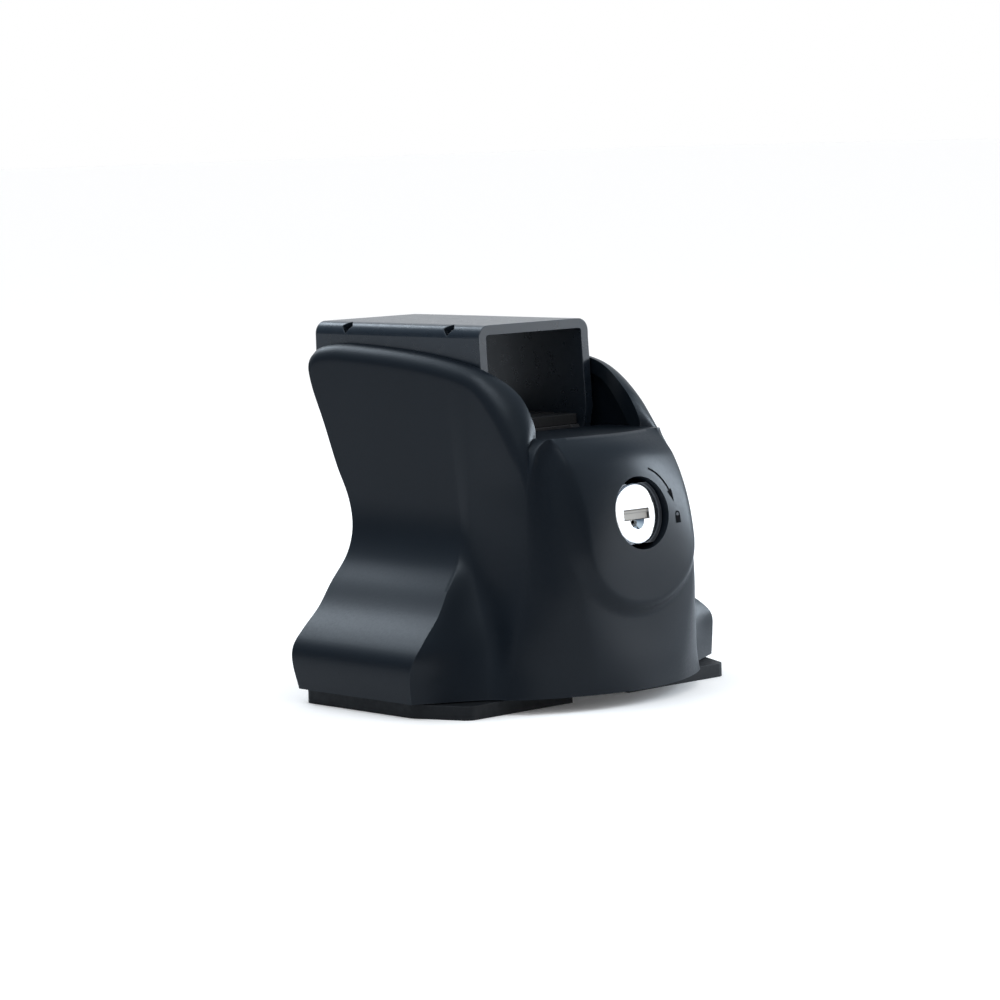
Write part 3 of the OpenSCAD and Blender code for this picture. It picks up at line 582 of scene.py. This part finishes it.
# Tension bolt: M8 hexagon bolt with a flange, rolled thread, zinc plated; it turns in the bridge
# behind a washer, held by an E-clip, and draws the threaded nut block along.
BOLT_Z, BOLT_R, BOLT_PITCH = 19.0, 4.0, 1.25
BOLT_X0, THREAD_X1, THREAD_DEPTH, THREAD_TURNS = -16.0, 17.6, 0.6, 64


def thread_mesh(x0, x1, r, pitch, depth, turns, per_pitch=10):
    """A rolled thread about X: rows follow the helix, and fade out at both ends."""
    rows = int((x1 - x0) / pitch * per_pitch) + 1
    verts = []
    for k in range(rows):
        x = along(x0, x1, k / (rows - 1))
        fade = min(1.0, (x1 - x) / (1.2 * pitch))
        for i in range(turns):
            a = 2 * math.pi * i / turns
            phase = ((x / pitch) - i / turns) % 1.0
            dip = min(1.0, max(0.0, 1.35 * (1 - abs(2 * phase - 1)) - 0.18))
            top = r if x - x0 > 1.0 else r - (1.0 - (x - x0)) * 0.95
            rr = min(top, r - depth * dip * fade)
            verts.append((x, rr * math.cos(a), rr * math.sin(a)))
    faces = []
    for k in range(rows - 1):
        for i in range(turns):
            j = (i + 1) % turns
            faces.append((k * turns + i, k * turns + j, (k + 1) * turns + j, (k + 1) * turns + i))
    return verts, faces


verts, faces = thread_mesh(BOLT_X0, THREAD_X1, BOLT_R - 0.01, BOLT_PITCH, THREAD_DEPTH, THREAD_TURNS)
faces.append(tuple(range(THREAD_TURNS)))
faces.append(tuple(range(len(verts) - THREAD_TURNS, len(verts))))
thread = mesh_piece("bolt_thread", verts, faces, sharp=70)
thread.data.transform(Matrix.Translation((0, 0, BOLT_Z * MM)))
thread.data.materials.append(zinc_plate)
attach(thread, "bolt")

HEAD_X, HEAD_D, HEAD_H, HEAD_TURNS = 23.9, 15.0, 6.0, 96
CLIP_X1, CLIP_T = 19.7, 1.0
shank = mesh_piece("bolt_head", *lathe([
    (THREAD_X1, 0.001), (THREAD_X1, BOLT_R), (CLIP_X1 - CLIP_T, BOLT_R), (CLIP_X1 - CLIP_T, 3.4),
    (CLIP_X1, 3.4), (CLIP_X1, BOLT_R), (HEAD_X, BOLT_R), (HEAD_X, HEAD_D / 2 - 0.2),
    (HEAD_X + 0.2, HEAD_D / 2), (HEAD_X + 0.9, HEAD_D / 2), (HEAD_X + 1.2, HEAD_D / 2 - 0.5),
    (HEAD_X + 1.2, 0.001)], HEAD_TURNS))
hexagon = []
for x, share in ((HEAD_X + 1.0, 1.0), (HEAD_X + HEAD_H - 0.9, 1.0), (HEAD_X + HEAD_H, 0.86),
                 (HEAD_X + HEAD_H - 0.5, 0.62)):
    for i in range(HEAD_TURNS):
        a = 2 * math.pi * i / HEAD_TURNS
        off_corner = (a + math.pi / 6) % (math.pi / 3) - math.pi / 6
        flat = HEAD_D / 2 * math.cos(math.pi / 6) / math.cos(off_corner)
        r = flat if share == 1.0 else min(flat, HEAD_D / 2 * share)
        hexagon.append((x, r * math.cos(a), r * math.sin(a)))
hex_faces = [tuple(range(3 * HEAD_TURNS, 4 * HEAD_TURNS))]
for k in range(3):
    low, high = k * HEAD_TURNS, (k + 1) * HEAD_TURNS
    for i in range(HEAD_TURNS):
        j = (i + 1) % HEAD_TURNS
        hex_faces.append((low + i, low + j, high + j, high + i))
hex_head = mesh_piece("bolt_hexagon", hexagon, hex_faces, sharp=25)
for part in (shank, hex_head):
    part.data.transform(Matrix.Translation((0, 0, BOLT_Z * MM)))
    part.data.materials.append(zinc_plate)
    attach(part, "bolt")
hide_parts("tension_bolt")
for name, finish, width in (("bolt_washer", zinc_plate, 0.2), ("bolt_clip", spring_steel, 0.1),
                            ("nut_block", zinc_plate, 0.5)):
    round_edges(dress(name, finish), width)


# The studio: a wide pale floor under a white sky, and five broad soft lights. The floor is white
# to the camera, less pale in reflections, and as grey as a car's roof in the light it throws up.
# In reflections the sky is dark blue at the horizon, pale overhead, and glows behind the foot.
stage_white, tree, shader = new_material("stage_white")
shader.inputs["Roughness"].default_value = 0.9
shader.inputs["Emission Color"].default_value = (1, 1, 1, 1)
seen = add(tree, "ShaderNodeLightPath")
pale = add(tree, "ShaderNodeMath", operation="MULTIPLY_ADD")
pale.inputs[1].default_value = 0.4
join(tree, seen, "Is Glossy Ray", pale, 0)
join(tree, seen, "Is Camera Ray", pale, 2)
ground = ramp(tree, [(0.0, (0.32, 0.39, 0.47)), (1.0, (0.985, 0.985, 0.985))])
join(tree, pale, "Value", ground, "Fac")
join(tree, ground, "Color", shader, "Base Color")
lifted = add(tree, "ShaderNodeMath", operation="MULTIPLY")
lifted.inputs[1].default_value = 0.05
join(tree, seen, "Is Camera Ray", lifted, 0)
join(tree, lifted, "Value", shader, "Emission Strength")
bpy.ops.mesh.primitive_plane_add(size=30, location=(0, 0, 0))
floor = bpy.context.object
floor.name = "floor"
floor.data.materials.append(stage_white)

world = bpy.data.worlds.new("studio")
bpy.context.scene.world = world
world.use_nodes = True
wtree = world.node_tree
background = wtree.nodes["Background"]
paths = wtree.nodes.new("ShaderNodeLightPath")
white = wtree.nodes.new("ShaderNodeBackground")
white.inputs["Color"].default_value = (1, 1, 1, 1)
white.inputs["Strength"].default_value = 1.0
sky = wtree.nodes.new("ShaderNodeTexCoord")
height = wtree.nodes.new("ShaderNodeSeparateXYZ")
wtree.links.new(sky.outputs["Generated"], height.inputs["Vector"])
lift = ramp(wtree, [(0.0, (0.06, 0.09, 0.12)), (0.15, (0.08, 0.12, 0.17)), (0.6, (0.33, 0.44, 0.57)),
                    (1.0, (0.7, 0.86, 1.0))])
wtree.links.new(height.outputs["Z"], lift.inputs["Fac"])
behind = wtree.nodes.new("ShaderNodeVectorMath")
behind.operation = "DOT_PRODUCT"
behind.inputs[1].default_value = (-0.73, 0.67, 0.1)
wtree.links.new(sky.outputs["Generated"], behind.inputs[0])
glow = ramp(wtree, [(0.55, 0.0), (0.95, 1.0)])
wtree.links.new(behind.outputs["Value"], glow.inputs["Fac"])
both = wtree.nodes.new("ShaderNodeMix")
both.data_type = "RGBA"
both.blend_type = "ADD"
both.inputs["Factor"].default_value = 1.0
wtree.links.new(lift.outputs["Color"], both.inputs[6])
wtree.links.new(glow.outputs["Color"], both.inputs[7])
wtree.links.new(both.outputs[2], background.inputs["Color"])
background.inputs["Strength"].default_value = 0.75
choose = wtree.nodes.new("ShaderNodeMixShader")
wtree.links.new(paths.outputs["Is Glossy Ray"], choose.inputs["Fac"])
wtree.links.new(white.outputs["Background"], choose.inputs[1])
wtree.links.new(background.outputs["Background"], choose.inputs[2])
wtree.links.new(choose.outputs["Shader"], wtree.nodes["World Output"].inputs["Surface"])


def soft_light(name, place, target, size, power, colour=(1, 1, 1)):
    lamp = bpy.data.lights.new(name, "AREA")
    lamp.shape = "RECTANGLE"
    lamp.size, lamp.size_y = size
    lamp.energy = power
    lamp.color = colour
    obj = bpy.data.objects.new(name, lamp)
    obj.location = place
    obj.visible_camera = False
    obj.rotation_euler = (Vector(target) - Vector(place)).to_track_quat("-Z", "Y").to_euler()
    bpy.context.scene.collection.objects.link(obj)
    return obj


centre = (0.0, 0.0, 0.045)
cool = (0.78, 0.89, 1.0)
soft_light("overhead", (-0.10, -0.32, 0.80), centre, (0.45, 0.35), 1.7, cool)
soft_light("far_side", (0.36, 0.80, 0.30), centre, (0.25, 0.50), 6.5, cool)
soft_light("inboard", (-0.75, 0.10, 0.56), centre, (0.30, 0.30), 1.3, cool)
soft_light("fill", (-0.30, -0.85, 0.25), centre, (0.6, 0.5), 0.15, cool)
soft_light("lock_card", (0.471, 0.420, 0.099), (0.046, 0.0, 0.044), (0.26, 0.22), 0.30)

# The camera: a long lens from outboard and in front, a little above the bar.
AZIMUTH, PITCH, ROLL = math.radians(47.5), math.radians(5.85), math.radians(-1.71)
CAMERA_PLACE, CAMERA_LENS = (0.6198, -0.5696, 0.1302), 130.1
back = Vector((math.sin(AZIMUTH) * math.cos(PITCH), -math.cos(AZIMUTH) * math.cos(PITCH),
               math.sin(PITCH)))
right = Vector((math.cos(AZIMUTH), math.sin(AZIMUTH), 0))
up = back.cross(right)
side = math.cos(ROLL) * right + math.sin(ROLL) * up
rise = -math.sin(ROLL) * right + math.cos(ROLL) * up
lens = bpy.data.cameras.new("camera")
lens.sensor_width = 36.0
lens.lens = CAMERA_LENS
camera = bpy.data.objects.new("camera", lens)
camera.matrix_world = Matrix((
    (side.x, rise.x, back.x, CAMERA_PLACE[0]), (side.y, rise.y, back.y, CAMERA_PLACE[1]),
    (side.z, rise.z, back.z, CAMERA_PLACE[2]), (0, 0, 0, 1)))
bpy.context.scene.collection.objects.link(camera)
scene = bpy.context.scene
scene.camera = camera
scene.view_settings.view_transform = "Standard"
